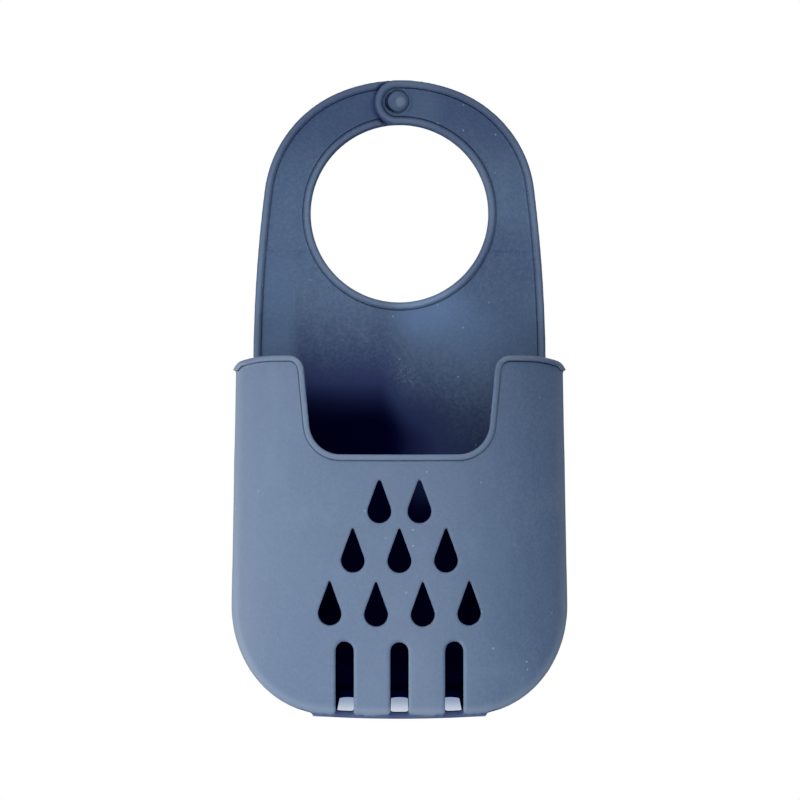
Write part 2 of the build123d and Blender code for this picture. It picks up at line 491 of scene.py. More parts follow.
# %% [markdown]
# ## The strap
#
# The strap is a flat sheet with a raised bead along its outer edge and round its hole. Its
# outer line is three tangent arcs a side. The bead is what is left of a thin upper layer
# once its middle field has been cut away, so the same outline is drawn again, drawn in by
# the width of the bead. There are two such layers, a broad low one and a narrow one on top
# of it, and the smoothing turns their steps into a rounded crest.

# %% Outlines of the strap
strap_bead_width = 2.75 * mm
strap_bead_height = 1.0 * mm
crest_inset = 0.7 * mm
bead_front = inner_back - strap_bead_height
bead_step_front = inner_back - strap_bead_height / 2
ring_height = 180.0 * mm
ring_hole_radius = 33.2 * mm
crown_height = 229.7 * mm
strap_arcs = [(58.6 * mm, 22.6), (45.8 * mm, 60.3), (557.0 * mm, 6.9)]
strap_foot = 60.0 * mm
bead_foot = side_rim_height + 2 * mm
overlap = 0.4 * mm


def strap_prism(inset, front, rear):
    """The strap in the front view, drawn in by an inset, between two depths."""
    pen = Pen(0, crown_height - inset)
    for radius, turn in strap_arcs:
        pen.turn(radius - inset, -turn)
    pen.run_to(pen.x, strap_foot)
    pen.run_to(0, strap_foot)
    pen.mirror()
    return pen.solid("strap", front, rear)


def ring_hole(radius):
    """The hole of the ring, or with a larger radius the bead round it."""
    return rod(0, ring_height, radius, -far, far, sides=360)


# %% [markdown]
# ## The two arms
#
# At the crown the right arm lies over the left one and ends in a round nose. Each arm is the
# full ring with the other side cut away by a block that has the nose as a bite in it. The
# arms are separate meshes because only 0.6 mm of air lies between them.

# %% Cutters for the noses
nose_radius = 8.3 * mm
nose_reach = 9.2 * mm
nose_x = nose_radius - nose_reach
nose_height = (crown_height + ring_height + ring_hole_radius) / 2
seam_height = 166.0 * mm
seam_spare = 9.0 * mm


def beyond_nose(side, radius, lowest):
    """All past the nose of an arm that reaches over the middle from the given side."""
    reach = -side * nose_x
    x0, x1 = sorted((-reach, -side * far))
    outside = block(x0, x1, -far, far, lowest, top)
    return cut(outside, rod(-reach, nose_height, radius, -far, far))


def arm_prism(side, lowest, inset, front, rear):
    """The ring with the arm of the given side whole, drawn in by an inset at all its edges."""
    form = cut(strap_prism(inset, front, rear), ring_hole(ring_hole_radius + inset))
    return cut(form, beyond_nose(side, nose_radius - inset, lowest))


def arm_sheet(side, lowest):
    """Sheet and bead of the ring: the bead is a broad low layer under a narrow crest."""
    form = arm_prism(side, lowest, 0, inner_back, back)
    for inset, front in ((0, bead_step_front), (crest_inset, bead_front)):
        layer = arm_prism(side, lowest, inset, front, inner_back + overlap)
        field = arm_prism(side, lowest, strap_bead_width - inset, -far, inner_back)
        join(field, block(-far, far, -far, inner_back, below, bead_foot))
        join(form, cut(layer, field))
    return form


right_side, left_side = 1, -1
strap = arm_sheet(right_side, seam_height + seam_spare)
left_arm = arm_sheet(left_side, seam_height - seam_spare)
print("strap faces", len(strap.data.polygons), "left arm faces", len(left_arm.data.polygons))

# %% [markdown]
# ## The eyelet
#
# The eyelet in the nose of the right arm is a shallow round seat on both sides with a thin
# lip between them. The lip stretches over the head of the stud when the strap is snapped
# shut. The arm pulls to the right, so the lip gapes on the left of the stud, and on its
# right the sheet rolls up into a small collar.

# %% Cut the eyelet
snap_height = 221.2 * mm
arm_sag = 0.5 * mm
eyelet_x = -0.9 * mm
eyelet_height = snap_height + arm_sag
eyelet_radius = 4.4 * mm
snap_x = -0.5 * mm
stem_radius = 2.6 * mm
lip_gap = 0.15 * mm
lip_recess = 0.4 * mm
lip_thickness = 1.6 * mm
lip_front = inner_back + lip_recess
gape_shift = 1.6 * mm
gape_radius = 3.3 * mm

cut(strap, rod(eyelet_x, eyelet_height, eyelet_radius, -far, lip_front, sides=96))
cut(strap, rod(eyelet_x, eyelet_height, eyelet_radius, lip_front + lip_thickness, far, sides=96))
cut(strap, rod(snap_x, eyelet_height, stem_radius + lip_gap, -far, far, sides=96))
cut(strap, rod(snap_x - gape_shift, eyelet_height, gape_radius, -far, far, sides=96))
print("strap faces with the eyelet", len(strap.data.polygons))

# %% Add the collar and free the left arm's end
collar_radius = 4.5 * mm
collar_thickness = 0.65 * mm
collar_from = snap_x + collar_radius / 3
nose_gap = 0.6 * mm


def collar():
    """A roll of sheet round the right side of the eyelet."""
    nothing_selected()
    bpy.ops.mesh.primitive_torus_add(
        major_radius=collar_radius,
        minor_radius=collar_thickness,
        major_segments=96,
        minor_segments=16,
        location=(snap_x, inner_back, eyelet_height),
        rotation=(math.pi / 2, 0, 0),
    )
    roll = placed("collar")
    return cut(roll, block(-far, collar_from, -far, far, ring_height, top))


join(strap, collar())

under_nose = block(nose_x, far, -far, inner_back, ring_height, top)
nose_under = nose_height - arm_sag
join(under_nose, rod(nose_x, nose_under, nose_radius + nose_gap, -far, inner_back))
cut(left_arm, under_nose)
cut(left_arm, block(-far, far, -far, far, below, seam_height - seam_spare))
join(shell, strap)
print("moulding faces", len(shell.data.polygons))

# %% [markdown]
# ## From cut solids to a moulding
#
# A mould has no knife edges. A fine voxel remesh turns the cut solids into one even skin, a
# little smoothing rounds each edge and bead, and a decimate thins the flat stretches again.
# The slots of the comb have softer edges than the rest, so their surroundings are smoothed
# further, with a vertex group.

# %% Remesh, smooth and thin
skin_voxel = 0.45 * mm
skin_rounds = 5
comb_rounds = 14
comb_margin = 2.5 * mm
comb_lowest, comb_over = 3.0 * mm, 3.0 * mm
body_triangles = 190000
arm_triangles = 40000


def near_comb(piece):
    """A vertex group that fades out away from the slots of the comb."""
    group = piece.vertex_groups.new(name="comb")
    co = np.empty(len(piece.data.vertices) * 3)
    piece.data.vertices.foreach_get("co", co)
    co = co.reshape(-1, 3)
    across = np.min([abs(co[:, 0] - x) for x in slot_places], axis=0)
    level = (co[:, 2] > comb_lowest) & (co[:, 2] < slot_top + comb_over)
    chosen = (co[:, 1] < 0) & level & (across < slot_width / 2 + comb_margin)
    group.add(np.nonzero(chosen)[0].tolist(), 1.0, "REPLACE")
    return group.name


def moulded(piece, voxel, rounds):
    """Turn a cut solid into a skin with soft edges."""
    apply_modifier(piece, "REMESH", mode="VOXEL", voxel_size=voxel)
    apply_modifier(piece, "SMOOTH", factor=smoothing, iterations=rounds)
    return piece


def thinned(piece, triangles):
    """Thin a skin to about that many triangles."""
    present = sum(len(p.vertices) - 2 for p in piece.data.polygons)
    if present > triangles:
        apply_modifier(piece, "DECIMATE", ratio=triangles / present)
    print(piece.name, "triangles", present, "thinned to", len(piece.data.polygons))


shell.name = "pocket_and_neck"
left_arm.name = "left_arm_skin"
moulded(shell, skin_voxel, skin_rounds)
moulded(left_arm, skin_voxel, skin_rounds)
apply_modifier(
    shell, "SMOOTH", factor=smoothing, iterations=comb_rounds, vertex_group=near_comb(shell)
)

# %% [markdown]
# ## Sharp inner corners
#
# Smoothing rounds the outer edges well, but it also fills the corner where a bead meets the
# sheet. On the real moulding that corner is a crisp dark line, because the mould was cut
# there with a pointed tool. A hair wide groove along the foot of each bead restores it. The
# floor gets its slots and its flat underside only now, so that they stay crisp too.

# %% Grooves along the beads
groove_width = 0.4 * mm
groove_depth = 0.3 * mm
rim_groove_rear = inner_back - 2 * mm


def strap_groove(side):
    """A thin line along the foot of the strap's bead, with the arm of the given side whole."""
    lowest = seam_height + side * seam_spare
    front, rear = bead_front - mm, inner_back + groove_depth
    line = arm_prism(side, lowest, strap_bead_width, front, rear)
    cut(line, arm_prism(side, lowest, strap_bead_width + groove_width, -far, far))
    return cut(line, block(-far, far, -far, far, below, bead_foot))


def rim_groove():
    """A thin line along the foot of the bead of the rim."""
    band = cut(rim_cutter(rim_bead_width + groove_width, top), rim_cutter(rim_bead_width, top))
    cut(band, block(-far, far, rim_groove_rear, far, below, top))
    return cut(band, bag_form("core", groove_depth, far, outer_rounds))


cut(left_arm, strap_groove(left_side))
cut(shell, strap_groove(right_side))
cut(shell, rim_groove())
print("grooved shell faces", len(shell.data.polygons))

# %% Cut the floor slots and the underside
floor_strip = 2.2 * mm
floor_slot_length = 40.0 * mm
floor_slot_top = 8.0 * mm
floor_slot_reach = 30.0 * mm
floor_front = back - bulge_depth + wall + floor_strip
floor_rear = floor_front + floor_slot_length


def floor_slot(across):
    """A slot with a round rear end."""
    half = slot_width / 2
    end = floor_rear - half
    slot = block(across - half, across + half, floor_front - far, end, below, floor_slot_top)
    nothing_selected()
    bpy.ops.mesh.primitive_cylinder_add(
        vertices=64,
        radius=half,
        depth=floor_slot_reach,
        location=(across, end, floor_slot_top - floor_slot_reach / 2),
    )
    join(slot, placed("slot_end"))
    return common(slot, plan_prism(wall + floor_strip))


for across in slot_places:
    cut(shell, floor_slot(across))
cut(shell, block(-far, far, -far, far, 2 * below, 0))
print("crisp shell faces", len(shell.data.polygons))

# %% [markdown]
# ## The step of the right arm
#
# The right arm leaves the plane of the ring and lies over the left one. On the real object
# the sheet simply bends forwards in a long S and is flat again at the nose. All points
# above the start of the step are moved forwards by one S shaped curve of two equal arcs.

# %% Step the right arm forwards
arm_step = 3.2 * mm
step_start = ring_height + 3.0 * mm
step_length = 25.0 * mm


def points_of(piece):
    """The points of a mesh as an array."""
    co = np.empty(len(piece.data.vertices) * 3)
    piece.data.vertices.foreach_get("co", co)
    return co.reshape(-1, 3)


def step_share(heights):
    """How much of the step has been made at each height, from 0 to 1."""
    t = np.clip((heights - step_start) / step_length, 0, 1)
    return np.where(t < 0.5, 2 * t**2, 1 - 2 * (1 - t) ** 2)


def step_forwards(piece):
    """Move all points above the start of the step forwards and a little down."""
    co = points_of(piece)
    share = step_share(co[:, 2])
    co[:, 1] -= arm_step * share
    co[:, 2] -= arm_sag * share
    piece.data.vertices.foreach_set("co", co.ravel())
    piece.data.update()


step_forwards(shell)

# %% [markdown]
# ## Cut the ring from its arms
#
# The arms of the real strap bend on their own, so the skin is parted below the bend lines. A
# boolean with a block leaves closed flat ends, and as both ends are cut at the same height,
# the seam doesn't show. A bend needs rows of points across the sheet, and bisects draw these.

# %% Cuts and rows across a skin
row_pitch = 1.6 * mm


def parted(piece, height, keep_above):
    """Cut a piece level and keep one side, with a closed flat end."""
    low, high = (2 * below, height) if keep_above else (height, top)
    return cut(piece, block(-far, far, -far, far, low, high))


def rows_across(piece, start, end):
    """Level rows of points from one height to another."""
    only(piece)
    bpy.ops.object.mode_set(mode="EDIT")
    count = round((end - start) / row_pitch)
    for i in range(count + 1):
        height = start + (end - start) * i / count
        bpy.ops.mesh.select_all(action="SELECT")
        bpy.ops.mesh.bisect(plane_co=(0, 0, height), plane_no=(0, 0, 1))
    bpy.ops.object.mode_set(mode="OBJECT")


def without_stub(piece):
    """Delete the short end that is left of the other arm."""
    only(piece)
    bpy.ops.object.mode_set(mode="EDIT")
    bpy.ops.mesh.select_all(action="DESELECT")
    bpy.ops.object.mode_set(mode="OBJECT")
    for v in piece.data.vertices:
        v.select = v.co.x < 0 and v.co.z < ring_height
    bpy.ops.object.mode_set(mode="EDIT")
    bpy.ops.mesh.delete(type="VERT")
    bpy.ops.object.mode_set(mode="OBJECT")


# %% Part the skins and add rows of points across the bends
neck_bend = (127.0 * mm, 147.0 * mm)
arm_bend = (168.0 * mm, 192.0 * mm)
right_arm = copied(shell)
right_arm.name = "right_arm_skin"
parted(shell, seam_height, keep_above=False)
parted(right_arm, seam_height, keep_above=True)
without_stub(right_arm)
parted(left_arm, seam_height, keep_above=True)
thinned(shell, body_triangles)
thinned(right_arm, arm_triangles)
thinned(left_arm, arm_triangles)
rows_across(shell, *neck_bend)
rows_across(right_arm, *arm_bend)
rows_across(left_arm, *arm_bend)
for piece in (shell, right_arm, left_arm):
    heights = points_of(piece)[:, 2]
    triangles = sum(len(p.vertices) - 2 for p in piece.data.polygons)
    print(piece.name, triangles, "triangles, z", heights.min().round(4), heights.max().round(4))

# %% [markdown]
# ## Where light catches the crests
#
# The crest of the strap's bead gets a painted highlight, paler than the sheet, and the cut
# edges of the sheet, turned away from the light, get painted shade. How far each point stands
# proud of the sheet, and how far its surface is turned to the side, are stored in the mesh as
# attributes that the finish can read.

# %% Mark the crests
upright_from, upright_over = 0.95, 0.45
on_crest = 0.7


def mark_crests(piece, stepped):
    """Store how far the points of the strap stand proud and turn aside, from 0 to 1."""
    co = points_of(piece)
    proud = inner_back - co[:, 1] - (arm_step * step_share(co[:, 2]) if stepped else 0)
    proud = np.where(co[:, 2] > bead_foot, proud / strap_bead_height, 0)
    normals = np.empty(len(co) * 3)
    piece.data.vertex_normals.foreach_get("vector", normals)
    facing = np.abs(normals.reshape(-1, 3)[:, 1])
    turned = np.where(co[:, 2] > bead_foot, (upright_from - facing) / upright_over, 0)
    for name, values in (("crest", proud), ("turned", turned)):
        attribute = piece.data.attributes.new(name, "FLOAT", "POINT")
        attribute.data.foreach_set("value", np.clip(values, 0, 1))
    print(piece.name, "points on a crest", int((proud > on_crest).sum()))


mark_crests(shell, stepped=False)
mark_crests(right_arm, stepped=True)
mark_crests(left_arm, stepped=False)

# %% [markdown]
# ## The stud
#
# A stem with a domed head stands on the left arm and comes through the eyelet. It is turned
# on the lathe: the profile of half the stud is drawn once and spun round its own axis.

# %% Turn the stud
head_radius = 3.85 * mm
head_height = 2.6 * mm
head_edge = 0.6 * mm
head_gap = 0.2 * mm
head_base = back - arm_step - sheet - head_gap
head_corner = 0.35 * mm
dome_share = 0.93
stem_sunk = 0.5 * mm


def turned_stud():
    """The profile from the crown of the head to the foot of the stem, spun full circle."""
    dome = head_height - head_edge
    sphere = (head_radius**2 + dome**2) / (2 * dome)
    sweep = math.degrees(math.asin(head_radius / sphere))
    stem_foot = head_base - inner_back - stem_sunk
    pen = Pen(0, head_height)
    pen.turn(sphere, -sweep * dome_share)
    pen.turn(head_corner, sweep * dome_share - 90)
    pen.run(pen.z - head_corner)
    pen.turn(head_corner, -90)
    pen.run_to(stem_radius, 0)
    pen.run_to(stem_radius, stem_foot)
    pen.run_to(0, stem_foot)
    bpy.ops.mesh.select_all(action="SELECT")
    bpy.ops.mesh.spin(steps=72, angle=math.tau, center=(0, 0, 0), axis=(0, 0, 1))
    bpy.ops.mesh.select_all(action="SELECT")
    bpy.ops.mesh.remove_doubles(threshold=0.001 * mm)
    bpy.ops.mesh.normals_make_consistent(inside=False)
    bpy.ops.object.mode_set(mode="OBJECT")
    stud = bpy.context.object
    stud.rotation_euler = (math.pi / 2, 0, 0)
    stud.location = (snap_x, head_base, snap_height)
    return placed("stud_skin")


stud = turned_stud()
co = points_of(stud)
print("stud from", co.min(0).round(4), "to", co.max(0).round(4))

# %% [markdown]
# ## Shader maths as plain expressions
#
# A shader is easier to read as sums than as a web of nodes. `Wire` wraps one output and adds
# Math nodes when it is added or multiplied. `Finish.node` makes any other node: its type, its
# settings, then the values or wires of its sockets.

# %% Sums of sockets
class Wire:
    """An output of a node that can be used in sums."""

    def __init__(self, finish, socket):
        self.finish = finish
        self.socket = socket

    def sum(self, operation, first, second):
        return self.finish.node(
            "ShaderNodeMath", {"operation": operation}, {0: first, 1: second}
        )

    def __add__(self, other):
        return self.sum("ADD", self, other)

    def __radd__(self, other):
        return self.sum("ADD", other, self)

    def __sub__(self, other):
        return self.sum("SUBTRACT", self, other)

    def __rsub__(self, other):
        return self.sum("SUBTRACT", other, self)

    def __mul__(self, other):
        return self.sum("MULTIPLY", self, other)

    def __rmul__(self, other):
        return self.sum("MULTIPLY", other, self)

    def size(self):
        return self.sum("ABSOLUTE", self, 0)


# %% A material and its nodes
class Finish:
    """A material and its node tree, or the node tree that is handed over."""

    def __init__(self, name, tree=None):
        if tree is None:
            self.material = bpy.data.materials.new(name)
            self.material.use_nodes = True
            tree = self.material.node_tree
        self.tree = tree
        self.tree.nodes.clear()

    def node(self, kind, settings=None, sockets=None, out=0):
        """Add a node, set it, fill or link its sockets, and return one output."""
        node = self.tree.nodes.new(kind)
        for name, value in (settings or {}).items():
            if name == "stops":
                for stop, (place, level) in zip(node.color_ramp.elements, value):
                    stop.position = place
                    stop.color = (level, level, level, 1)
            else:
                setattr(node, name, value)
        for name, value in (sockets or {}).items():
            if isinstance(value, Wire):
                self.tree.links.new(value.socket, node.inputs[name])
            else:
                node.inputs[name].default_value = value
        return Wire(self, node.outputs[out]) if node.outputs else None

    def between(self, value, low, high):
        """0 below one level, 1 above the other, and soft in between."""
        stops = {"interpolation_type": "SMOOTHSTEP"}
        return self.node("ShaderNodeMapRange", stops, {"Value": value, 1: low, 2: high})

    def mixed(self, share, first, second):
        """One colour painted over another by a share."""
        return self.node(
            "ShaderNodeMix", {"data_type": "RGBA"}, {0: share, 6: first, 7: second}, out=2
        )


# %% [markdown]
# ## Silicone
#
# Matte silicone has a deep body colour under a soft grey bloom. This caddy has been handled:
# it carries smudges, a few fine scratches and specks of dust. Light and shade are painted
# into its colour as well: a painted sheen on the outside, painted highlights on its crests,
# on the right lips of its slots and on the stud, and painted shade on the left lips, on its
# edges and deep in the pocket, on top of the real shade there; the panel behind the scoop is
# painted lighter towards its top and its right. All of that is tied to fixed places of the
# object: soft masks on its own coordinates say where, and noise breaks them up. A fade in
# this finish is a pair, nothing at the first place and all at the second.

# %% The colours of the silicone
silicone_base = (0.078, 0.139, 0.262, 1)
silicone_deep = (0.069, 0.125, 0.245, 1)
# The bloom colour is also the colour of the painted highlight on the stud.
bloom_and_highlight_colour = (0.195, 0.277, 0.41, 1)
# Painted sheen: the paler colour put where light falls on the outside, and on crests and lips as
# painted highlights.
painted_sheen_colour = (0.19, 0.262, 0.385, 1)
dust_colour = (0.55, 0.58, 0.62, 1)
# Painted shade: the colour that the shade deep in the pocket fades to, and the nearly black
# colour where it is deepest.
painted_shade_colour = (0.0, 0.012, 0.13, 1)
deep_shade_colour = (0.0005, 0.001, 0.025, 1)

f = Finish("silicone")
place = f.node("ShaderNodeTexCoord", out=3)
x, y, z = (f.node("ShaderNodeSeparateXYZ", None, {0: place}, out=i) for i in range(3))
print("finish", f.material.name)

# %% Spots, strokes and noise
scratch_width = 0.12 * mm
speck_radius = 0.45 * mm


def positive(value):
    """A value where it is above 0, and 0 elsewhere."""
    return value.sum("MAXIMUM", value, 0)


def blended(share, first, second):
    """The second of two values by a share, and the first by the rest."""
    return (1 - share) * first + share * second


def blob(centre_x, centre_z, core, rim):
    """A round spot in the front view, full within its core and gone at its rim."""
    away_x, away_z = x - centre_x, z - centre_z
    return f.between(away_x * away_x + away_z * away_z, rim**2, core**2)


def stroke(start, end):
    """A fine straight scratch in the front view."""
    way = Vector(end) - Vector(start)
    ahead, right_of = way.normalized(), Vector((way.y, -way.x)).normalized()
    from_x, from_z = x - start[0], z - start[1]
    aside = from_x * right_of.x + from_z * right_of.y
    along = from_x * ahead.x + from_z * ahead.y - way.length / 2
    ends = f.between(along.size(), way.length / 2, way.length / 3)
    return f.between(aside.size(), scratch_width, 0) * ends


def noise(scale, detail=2.0, rough=0.5, distortion=0.0, vector=place):
    """Noise by its waves a metre, detail, roughness and distortion."""
    sockets = {"Vector": vector, "Scale": scale, "Detail": detail}
    sockets.update({"Roughness": rough, "Distortion": distortion})
    return f.node("ShaderNodeTexNoise", None, sockets)


def stretched(turn, size):
    """The place, turned and scaled, so that noise is drawn out along one line."""
    return f.node("ShaderNodeMapping", None, {"Vector": place, "Rotation": turn, "Scale": size})


# %% Masks of the walls
front_fade = (0.945, 0.975)
inside_fade = (0.965, 0.93)
bead_fade = (1.02, 1.04)
skin_fade = ((corner_radius - 1.6 * mm) ** 2, (corner_radius - 0.9 * mm) ** 2)
edge_fade = ((corner_radius - 4.5 * mm) ** 2, (corner_radius - 0.5 * mm) ** 2)
flank_fade = (30.0 * mm, 33.0 * mm)
sheet_fade = (24.9 * mm, 24.4 * mm)

depth = back - y
plan = x * x * (1 / bulge_half_width**2) + depth * depth * (1 / bulge_depth**2)
above_bend = z - (foot + corner_radius)
taper = positive(above_bend) * math.tan(math.radians(side_taper))
over_x = positive(x.size() - flat_half_width + taper)
over_z = positive(above_bend * -1)
reach = over_x * over_x + over_z * over_z
flank = f.between(reach, *skin_fade) * f.between(x.size(), *flank_fade)
inside = f.between(plan, *inside_fade) * (1 - flank) * f.between(y, *sheet_fade)
front = f.between(plan, *front_fade)
print("nodes with the walls", len(f.tree.nodes))

# %% [markdown]
# ### Light and shade
#
# Light fades on its way into the pocket, and each part of the strap catches a little more or
# less of it. Lights alone can't be aimed that finely, so one value from 0 to a little over 1,
# the shade, is built up from fades and spots and later darkens or lifts the colour.

# %% The light that reaches the pocket and the strap
left_panel = [((108.0 * mm, 150.0 * mm), 0.9), ((98.0 * mm, 112.0 * mm), 0.085)]
to_left_margin = (-36.0 * mm, -43.0 * mm)
left_margin, margin_level = (60.0 * mm, 124.0 * mm), 1.3
middle_panel, middle_level = (93.0 * mm, 151.0 * mm), 1.62
right_panel, right_level = (62.0 * mm, 150.0 * mm), 1.38
to_right_panel = (4.0 * mm, 34.0 * mm)
from_left_panel = (-8.0 * mm, 7.0 * mm)
low_glow, low_level = (10.0 * mm, 88.0 * mm, 2.0 * mm, 24.0 * mm), 0.1
high_glow, high_level = (9.0 * mm, 143.0 * mm, 1.0 * mm, 14.0 * mm), 0.18
hollow_spot, hollow_level = (38.0 * mm, 159.0 * mm, 4.0 * mm, 23.0 * mm), 0.27
crown_fade, crown_level = (188.0 * mm, 216.0 * mm), 0.4
snap_glow, snap_level = (4.0 * mm, 221.0 * mm, 4.0 * mm, 15.0 * mm), 0.25
strap_level = 1.1
neck_fade = (142.0 * mm, 168.0 * mm)

left_light = sum(f.between(z, *fade) * level for fade, level in left_panel)
margin_light = f.between(z, *left_margin) * margin_level
left_light = blended(f.between(x, *to_left_margin), left_light, margin_light)
middle_light = f.between(z, *middle_panel) * middle_level
right_light = f.between(z, *right_panel) * right_level
right_light = blended(f.between(x, *to_right_panel), middle_light, right_light)
right_light = right_light + blob(*low_glow) * low_level
pocket_light = blended(f.between(x, *from_left_panel), left_light, right_light)
pocket_light = pocket_light + blob(*high_glow) * high_level
crown = f.between(z, *crown_fade)
strap_light = strap_level - crown * crown_level + blob(*snap_glow) * snap_level
light = blended(f.between(z, *neck_fade), pocket_light, strap_light)
light = light * (1 - blob(*hollow_spot) * hollow_level)
print("nodes with the light", len(f.tree.nodes))

# %% The lips of the slots, the painted highlights on the crests and the shade
lip_width, lip_shade, lip_highlight = 1.7 * mm, 0.25, 0.45
comb_fade = (1.5 * slot_pitch, 1.4 * slot_pitch)
lit_lip_fade = (-1.0 * mm, 2.5 * mm)
crest_fade, rim_highlight = (0.6, 1.0), 0.4
edge_strip = [(z, (2.6 * mm, 1.9 * mm)), (plan, (0.99, 0.975)), (plan, (0.88, 0.9))]
strip_shade = 0.27
valley_fades = [(x, (34.0 * mm, 50.0 * mm)), (z, (30.0 * mm, 80.0 * mm))]
valley_shade, turned_shade, nose_shade = 0.1, 0.45, 0.65
nose_spot = (nose_x, nose_under, nose_radius - 0.3 * mm, nose_radius + 2.2 * mm)
nose_fades = [(y, (22.0 * mm, 22.3 * mm)), (x, (-5.0 * mm, -7.0 * mm))]


def all_of(fades):
    """The common part of fades, each given with the value that it is read from."""
    return math.prod(f.between(value, *fade) for value, fade in fades)


wrap = {0: x, 1: slot_pitch / 2, 2: -slot_pitch / 2}
lateral = f.node("ShaderNodeMath", {"operation": "WRAP"}, wrap)
rise = positive(z - (slot_top - slot_width / 2))
lip_fade = ((slot_width / 2 + lip_width) ** 2, (slot_width / 2) ** 2)
lip = f.between(lateral * lateral + rise * rise, *lip_fade) * front
lip = lip * f.between(x.size(), *comb_fade)
# Painted highlight on the right lip of each slot and painted shade on its left lip.
lit_lip = f.between(lateral, *lit_lip_fade)
proud = f.node("ShaderNodeAttribute", {"attribute_name": "crest"}, out=2)
turned = f.node("ShaderNodeAttribute", {"attribute_name": "turned"}, out=2)
# Painted highlight on the crests of the strap's bead and of the rim's bead.
crest_highlight = f.between(proud, *crest_fade) + f.between(plan, *bead_fade) * rim_highlight

shade = blended(all_of(edge_strip), blended(inside, 1, light), strip_shade)
shade = shade * (1 - lip * (1 - lit_lip) * lip_shade)
shade = shade * (1 - all_of(valley_fades) * front * valley_shade)
# Painted shade on the edges of the strap that turn away from the light.
shade = shade * (1 - turned * turned_shade)
shade = shade * (1 - blob(*nose_spot) * all_of(nose_fades) * nose_shade)
print("nodes with the shade", len(f.tree.nodes))

# %% Painted sheen and highlights on the outside
sheen_level, sheen_loss, sheen_loss_fade = 0.5, 0.37, (12.0 * mm, 52.0 * mm)
edge_sheen, edge_sheen_left, edge_left_fade = 0.38, 0.17, (10.0 * mm, -10.0 * mm)
low_sheen, low_fade = 0.5, (62.0 * mm, 26.0 * mm)
crest_highlight_level = 0.5

edge_level = edge_sheen + f.between(x, *edge_left_fade) * edge_sheen_left
edge_level = edge_level + f.between(z, *low_fade) * low_sheen
# Painted sheen: strongest on the left of the front, at the edges and low down, where the light
# falls.
painted_sheen = front * (sheen_level - f.between(x, *sheen_loss_fade) * sheen_loss)
painted_sheen = painted_sheen + f.between(reach, *edge_fade) * edge_level
painted_sheen = painted_sheen + lip * lit_lip * lip_highlight + crest_highlight * crest_highlight_level

# %% [markdown]
# ### Wear
#
# Smudges come from a warped noise and from one drawn out upwards, scratches from noise that
# is stretched hard along one line, and specks from a pattern of cells that are nearly all
# empty. A few marks that the eye is drawn to have places of their own, and so does a painted
# highlight on the dome of the stud.

# %% Smudges and fine scratches
cloud_fade, cloud_share = (0.5, 0.78), 0.6
streak_turn, streak_size = (0, 0.6, 0), (1, 1, 0.18)
streak_fade, streak_share = (0.52, 0.8), 0.4
smudge_lost_inside = 0.6
hair_turn, hair_size, hair_fade = (0, -0.75, 0), (900, 40, 14), (0.73, 0.8)
scratched_patch = (0.56, 0.66)

slow = noise(14, detail=3)
cloud = f.between(noise(38, detail=5, rough=0.62, distortion=0.8), *cloud_fade)
drawn_out = stretched(streak_turn, streak_size)
streak = noise(60, detail=4, rough=0.6, distortion=0.2, vector=drawn_out)
streak = f.between(streak, *streak_fade)
smudge = cloud * cloud_share + streak * streak_share
smudge = smudge * (1 - inside * smudge_lost_inside)
hair = noise(1, detail=1, rough=0.4, vector=stretched(hair_turn, hair_size))
scratch = f.between(hair, *hair_fade) * f.between(noise(22, detail=1), *scratched_patch)

# %% Mottling and bloom
fine_fade, fine_level = (0.3, 0.72), 0.4
patch_size, patch_fade, patch_level = (1, 1, 0.45), (0.42, 0.72), 0.08
fleck_spot = (1.0 * mm, 119.0 * mm, 1.0 * mm, 8.0 * mm)
fleck_fade, fleck_level = (0.5, 0.64), 0.3
mottle_below = 0.1
smudge_bloom, bloom_fade, crown_bloom_shade = 0.45, (0.1, 0.7), 0.5

fine = f.between(noise(800, detail=4, rough=0.85, distortion=0.3), *fine_fade)
upwards = stretched((0, 0, 0), patch_size)
patch = f.between(noise(75, detail=3, rough=0.6, distortion=1.5, vector=upwards), *patch_fade)
flecks = blob(*fleck_spot) * f.between(noise(900), *fleck_fade)
mottle = fine * fine_level + patch * patch_level + flecks * fleck_level - mottle_below
# The bloom fades where the painted shade is deep, and at the crown it is cut back as painted
# shade.
bloom = (smudge * smudge_bloom + mottle) * f.between(shade, *bloom_fade)
bloom = bloom * (1 - crown * crown_bloom_shade)
print("nodes with the bloom", len(f.tree.nodes))

# %% Marks with places of their own, a painted highlight on the stud, and dust
scratches = [
    ((56.7 * mm, 36.6 * mm), (38.9 * mm, 19.0 * mm)),
    ((-28.3 * mm, 10.0 * mm), (-24.2 * mm, 5.8 * mm)),
    ((-26.9 * mm, 10.6 * mm), (-23.6 * mm, 7.6 * mm)),
]
specks = [(32.8 * mm, 23.5 * mm), (45.0 * mm, 17.8 * mm), (21.9 * mm, 118.9 * mm)]
speck_cells, speck_fade, picked_cells = 420.0, (0.2, 0.05), (0.965, 0.985)
stud_spot = (0.5 * mm, 220.7 * mm, 0.3 * mm, 2.4 * mm)
stud_fade = (19.2 * mm, 18.8 * mm)

cells = {"Vector": place, "Scale": speck_cells}
from_cell = f.node("ShaderNodeTexVoronoi", {"feature": "F1"}, cells)
cell_colour = f.node("ShaderNodeTexVoronoi", {"feature": "F1"}, cells, out=1)
picked = f.node("ShaderNodeSeparateColor", None, {0: cell_colour})
speck = f.between(from_cell, *speck_fade) * f.between(picked, *picked_cells)
drawn = sum(stroke(*ends) for ends in scratches)
dots = sum(blob(*centre, 0, speck_radius) for centre in specks)
# Painted highlight on the dome of the stud.
stud_highlight = blob(*stud_spot) * f.between(y, *stud_fade)
print("nodes with the wear", len(f.tree.nodes))

